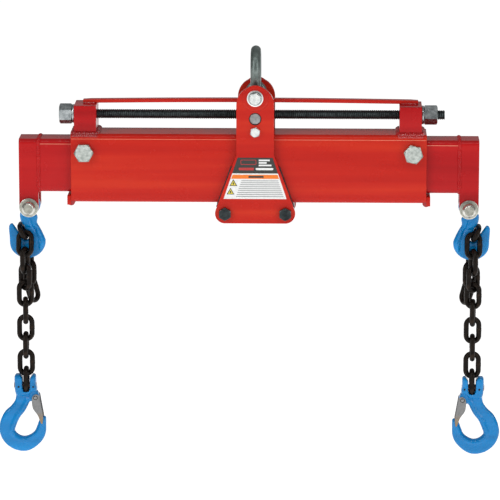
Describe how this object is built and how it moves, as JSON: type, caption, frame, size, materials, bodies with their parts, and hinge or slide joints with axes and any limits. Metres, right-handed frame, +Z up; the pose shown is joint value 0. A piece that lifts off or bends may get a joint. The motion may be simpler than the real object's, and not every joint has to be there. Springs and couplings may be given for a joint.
{
  "type": "spreader beam",
  "caption": "Adjustable lifting beam: telescoping box tube hung from a shackle by a screw-driven carriage, with chains and latched hooks.",
  "frame": {"origin": "the inner crown of the shackle's bow, where a crane hook bears, in the middle of its bar", "axes": "+X along the beam towards the end without the drive hex, +Z up, +Y away from the face with the bolt heads"},
  "size_m": [0.8401, 0.1287, 0.6874],
  "materials": {
    "red_paint": "glossy red enamel",
    "blue_paint": "glossy blue powder coat over forged steel",
    "chain_black": "blackened alloy chain",
    "zinc": "bright zinc plate",
    "dull_zinc": "dull yellowed zinc plate",
    "galvanised": "galvanised, grey",
    "black_oxide": "oiled black oxide",
    "steel": "bare machined and pressed steel",
    "pad": "black low-friction pad"
  },
  "bodies": {
    "shackle": {"shackle": "galvanised"},
    "carriage": {"carriage_plate_front": "red_paint", "carriage_plate_rear": "red_paint", "wear_pad_front": "pad", "wear_pad_rear": "pad", "pivot_bolt": "zinc", "guide_bolt": "zinc", "trunnion_nut": "steel", "roller_bolt_left": "black_oxide", "roller_bolt_right": "black_oxide"},
    "roller_left": {"roller_left": "steel"},
    "roller_right": {"roller_right": "steel"},
    "beam": {"main_tube": "red_paint", "screw_block_left": "red_paint", "screw_block_right": "red_paint", "tie_strap": "red_paint", "arm_bolt_left": "zinc", "arm_bolt_right": "zinc"},
    "lead_screw": {"lead_screw": "black_oxide", "stop_nut": "black_oxide"},
    "arm_left": {"arm_tube_left": "red_paint", "arm_clevis_left": "red_paint", "clevis_bolt_left": "dull_zinc"},
    "grab_hook_left": {"grab_hook_left": "blue_paint", "held_link_left": "chain_black"},
    "leg_link_left_1": {"leg_link_left_1": "chain_black"},
    "leg_link_left_2": {"leg_link_left_2": "chain_black"},
    "leg_link_left_3": {"leg_link_left_3": "chain_black"},
    "leg_link_left_4": {"leg_link_left_4": "chain_black"},
    "leg_link_left_5": {"leg_link_left_5": "chain_black"},
    "leg_link_left_6": {"leg_link_left_6": "chain_black"},
    "leg_link_left_7": {"leg_link_left_7": "chain_black"},
    "leg_link_left_8": {"leg_link_left_8": "chain_black"},
    "leg_link_left_9": {"leg_link_left_9": "chain_black"},
    "tail_link_left_1": {"tail_link_left_1": "chain_black"},
    "tail_link_left_2": {"tail_link_left_2": "chain_black"},
    "tail_link_left_3": {"tail_link_left_3": "chain_black"},
    "tail_link_left_4": {"tail_link_left_4": "chain_black"},
    "sling_hook_left": {"sling_hook_left": "blue_paint"},
    "latch_left": {"latch_left": "steel"},
    "arm_right": {"arm_tube_right": "red_paint", "arm_clevis_right": "red_paint", "clevis_bolt_right": "dull_zinc"},
    "grab_hook_right": {"grab_hook_right": "blue_paint", "held_link_right": "chain_black"},
    "leg_link_right_1": {"leg_link_right_1": "chain_black"},
    "leg_link_right_2": {"leg_link_right_2": "chain_black"},
    "leg_link_right_3": {"leg_link_right_3": "chain_black"},
    "leg_link_right_4": {"leg_link_right_4": "chain_black"},
    "leg_link_right_5": {"leg_link_right_5": "chain_black"},
    "leg_link_right_6": {"leg_link_right_6": "chain_black"},
    "leg_link_right_7": {"leg_link_right_7": "chain_black"},
    "leg_link_right_8": {"leg_link_right_8": "chain_black"},
    "leg_link_right_9": {"leg_link_right_9": "chain_black"},
    "tail_link_right_1": {"tail_link_right_1": "chain_black"},
    "tail_link_right_2": {"tail_link_right_2": "chain_black"},
    "tail_link_right_3": {"tail_link_right_3": "chain_black"},
    "tail_link_right_4": {"tail_link_right_4": "chain_black"},
    "sling_hook_right": {"sling_hook_right": "blue_paint"},
    "latch_right": {"latch_right": "steel"}
  },
  "joints": [
    {"name": "carriage_swing", "type": "hinge", "parent": "shackle", "child": "carriage", "pos_m": [0, 0, -0.064], "axis": [0, 1, 0], "range_deg": [-60, 60]},
    {"name": "beam_slide", "type": "slide", "parent": "carriage", "child": "beam", "axis": [1, 0, 0], "range_m": [-0.2, 0.225]},
    {"name": "screw_turn", "type": "hinge", "parent": "beam", "child": "lead_screw", "pos_m": [0, 0, -0.0984], "axis": [1, 0, 0], "range_deg": [-22700, 25550]},
    {"name": "roller_turn_left", "type": "hinge", "parent": "carriage", "child": "roller_left", "pos_m": [-0.0498, 0, -0.2565], "axis": [0, 1, 0], "range_deg": [-770, 865]},
    {"name": "roller_turn_right", "type": "hinge", "parent": "carriage", "child": "roller_right", "pos_m": [0.0498, 0, -0.2565], "axis": [0, 1, 0], "range_deg": [-770, 865]},
    {"name": "arm_slide_left", "type": "slide", "parent": "beam", "child": "arm_left", "axis": [-1, 0, 0], "range_m": [0, 0.1]},
    {"name": "grab_hook_turn_left", "type": "hinge", "parent": "arm_left", "child": "grab_hook_left", "pos_m": [-0.3757, 0, -0.252], "axis": [0, 1, 0], "range_deg": [-45, 45]},
    {"name": "leg_swing_left_1", "type": "hinge", "parent": "grab_hook_left", "child": "leg_link_left_1", "pos_m": [-0.3843, -0.0094, -0.3065], "axis": [0, 1, 0], "range_deg": [-15, 15]},
    {"name": "leg_swing_left_2", "type": "hinge", "parent": "leg_link_left_1", "child": "leg_link_left_2", "pos_m": [-0.3843, -0.01942, -0.33458], "axis": [1, 0, 0], "range_deg": [-15, 0]},
    {"name": "leg_swing_left_3", "type": "hinge", "parent": "leg_link_left_2", "child": "leg_link_left_3", "pos_m": [-0.3843, -0.01942, -0.36271], "axis": [0.309, 0.9511, 0], "range_deg": [-5, 5]},
    {"name": "leg_swing_left_4", "type": "hinge", "parent": "leg_link_left_3", "child": "leg_link_left_4", "pos_m": [-0.3843, -0.01942, -0.3907], "axis": [-0.7071, 0.7071, 0], "range_deg": [-5, 5]},
    {"name": "leg_swing_left_5", "type": "hinge", "parent": "leg_link_left_4", "child": "leg_link_left_5", "pos_m": [-0.3843, -0.01942, -0.41869], "axis": [-0.9511, -0.309, 0], "range_deg": [-15, 15]},
    {"name": "leg_swing_left_6", "type": "hinge", "parent": "leg_link_left_5", "child": "leg_link_left_6", "pos_m": [-0.3843, -0.01942, -0.44803], "axis": [0.1045, -0.9945, 0], "range_deg": [-15, 15]},
    {"name": "leg_swing_left_7", "type": "hinge", "parent": "leg_link_left_6", "child": "leg_link_left_7", "pos_m": [-0.3843, -0.01942, -0.47764], "axis": [1, 0, 0], "range_deg": [-15, 15]},
    {"name": "leg_swing_left_8", "type": "hinge", "parent": "leg_link_left_7", "child": "leg_link_left_8", "pos_m": [-0.3843, -0.01942, -0.50734], "axis": [0, 1, 0], "range_deg": [-15, 15]},
    {"name": "leg_swing_left_9", "type": "hinge", "parent": "leg_link_left_8", "child": "leg_link_left_9", "pos_m": [-0.3843, -0.01942, -0.53704], "axis": [-1, 0, 0], "range_deg": [-15, 15]},
    {"name": "tail_swing_left_1", "type": "hinge", "parent": "grab_hook_left", "child": "tail_link_left_1", "pos_m": [-0.3843, 0.0094, -0.3065], "axis": [0, 1, 0], "range_deg": [-8, 8]},
    {"name": "tail_swing_left_2", "type": "hinge", "parent": "tail_link_left_1", "child": "tail_link_left_2", "pos_m": [-0.37853, 0.01996, -0.33386], "axis": [0.9816, -0.0526, 0.1834], "range_deg": [-4, 8]},
    {"name": "tail_swing_left_3", "type": "hinge", "parent": "tail_link_left_2", "child": "tail_link_left_3", "pos_m": [-0.38031, 0.02005, -0.3624], "axis": [0.2419, 0.9703, 0], "range_deg": [-8, 8]},
    {"name": "tail_swing_left_4", "type": "hinge", "parent": "tail_link_left_3", "child": "tail_link_left_4", "pos_m": [-0.38031, 0.02005, -0.39062], "axis": [-0.7771, 0.6293, 0], "range_deg": [-8, 8]},
    {"name": "sling_hook_swing_left", "type": "hinge", "parent": "leg_link_left_9", "child": "sling_hook_left", "pos_m": [-0.3843, -0.01942, -0.55659], "axis": [1, 0, 0], "range_deg": [-15, 15]},
    {"name": "latch_turn_left", "type": "hinge", "parent": "sling_hook_left", "child": "latch_left", "pos_m": [-0.3688, -0.01942, -0.57659], "axis": [0, 1, 0], "range_deg": [0, 27], "stiffness_Nm_per_rad": 0.08, "springref_deg": -17.19},
    {"name": "arm_slide_right", "type": "slide", "parent": "beam", "child": "arm_right", "axis": [1, 0, 0], "range_m": [0, 0.1]},
    {"name": "grab_hook_turn_right", "type": "hinge", "parent": "arm_right", "child": "grab_hook_right", "pos_m": [0.3532, 0, -0.252], "axis": [0, 1, 0], "range_deg": [-45, 45]},
    {"name": "leg_swing_right_1", "type": "hinge", "parent": "grab_hook_right", "child": "leg_link_right_1", "pos_m": [0.3618, -0.0094, -0.3065], "axis": [0, 1, 0], "range_deg": [-15, 15]},
    {"name": "leg_swing_right_2", "type": "hinge", "parent": "leg_link_right_1", "child": "leg_link_right_2", "pos_m": [0.3618, -0.01942, -0.33458], "axis": [1, 0, 0], "range_deg": [-15, 0]},
    {"name": "leg_swing_right_3", "type": "hinge", "parent": "leg_link_right_2", "child": "leg_link_right_3", "pos_m": [0.3618, -0.01942, -0.36271], "axis": [0.309, -0.9511, 0], "range_deg": [-5, 5]},
    {"name": "leg_swing_right_4", "type": "hinge", "parent": "leg_link_right_3", "child": "leg_link_right_4", "pos_m": [0.3618, -0.01942, -0.3907], "axis": [-0.7071, -0.7071, 0], "range_deg": [-5, 5]},
    {"name": "leg_swing_right_5", "type": "hinge", "parent": "leg_link_right_4", "child": "leg_link_right_5", "pos_m": [0.3618, -0.01942, -0.41869], "axis": [-0.9511, 0.309, 0], "range_deg": [-15, 15]},
    {"name": "leg_swing_right_6", "type": "hinge", "parent": "leg_link_right_5", "child": "leg_link_right_6", "pos_m": [0.3618, -0.01942, -0.44803], "axis": [0.1045, 0.9945, 0], "range_deg": [-15, 15]},
    {"name": "leg_swing_right_7", "type": "hinge", "parent": "leg_link_right_6", "child": "leg_link_right_7", "pos_m": [0.3618, -0.01942, -0.47764], "axis": [1, 0, 0], "range_deg": [-15, 15]},
    {"name": "leg_swing_right_8", "type": "hinge", "parent": "leg_link_right_7", "child": "leg_link_right_8", "pos_m": [0.3618, -0.01942, -0.50734], "axis": [0, -1, 0], "range_deg": [-15, 15]},
    {"name": "leg_swing_right_9", "type": "hinge", "parent": "leg_link_right_8", "child": "leg_link_right_9", "pos_m": [0.3618, -0.01942, -0.53704], "axis": [-1, 0, 0], "range_deg": [-15, 15]},
    {"name": "tail_swing_right_1", "type": "hinge", "parent": "grab_hook_right", "child": "tail_link_right_1", "pos_m": [0.3618, 0.0094, -0.3065], "axis": [0, 1, 0], "range_deg": [-8, 8]},
    {"name": "tail_swing_right_2", "type": "hinge", "parent": "tail_link_right_1", "child": "tail_link_right_2", "pos_m": [0.35603, 0.01996, -0.33386], "axis": [0.9816, 0.0526, -0.1834], "range_deg": [-4, 8]},
    {"name": "tail_swing_right_3", "type": "hinge", "parent": "tail_link_right_2", "child": "tail_link_right_3", "pos_m": [0.35781, 0.02005, -0.3624], "axis": [0.2419, -0.9703, 0], "range_deg": [-8, 8]},
    {"name": "tail_swing_right_4", "type": "hinge", "parent": "tail_link_right_3", "child": "tail_link_right_4", "pos_m": [0.35781, 0.02005, -0.39062], "axis": [-0.7771, -0.6293, 0], "range_deg": [-8, 8]},
    {"name": "sling_hook_swing_right", "type": "hinge", "parent": "leg_link_right_9", "child": "sling_hook_right", "pos_m": [0.3618, -0.01942, -0.55659], "axis": [1, 0, 0], "range_deg": [-15, 15]},
    {"name": "latch_turn_right", "type": "hinge", "parent": "sling_hook_right", "child": "latch_right", "pos_m": [0.3463, -0.01942, -0.57659], "axis": [0, -1, 0], "range_deg": [0, 27], "stiffness_Nm_per_rad": 0.08, "springref_deg": -17.19}
  ],
  "couplings": [
    {"joint": "screw_turn", "follows": "beam_slide", "rad_per_m": 1979},
    {"joint": "roller_turn_left", "follows": "beam_slide", "rad_per_m": 66.667},
    {"joint": "roller_turn_right", "follows": "beam_slide", "rad_per_m": 66.667}
  ]
}
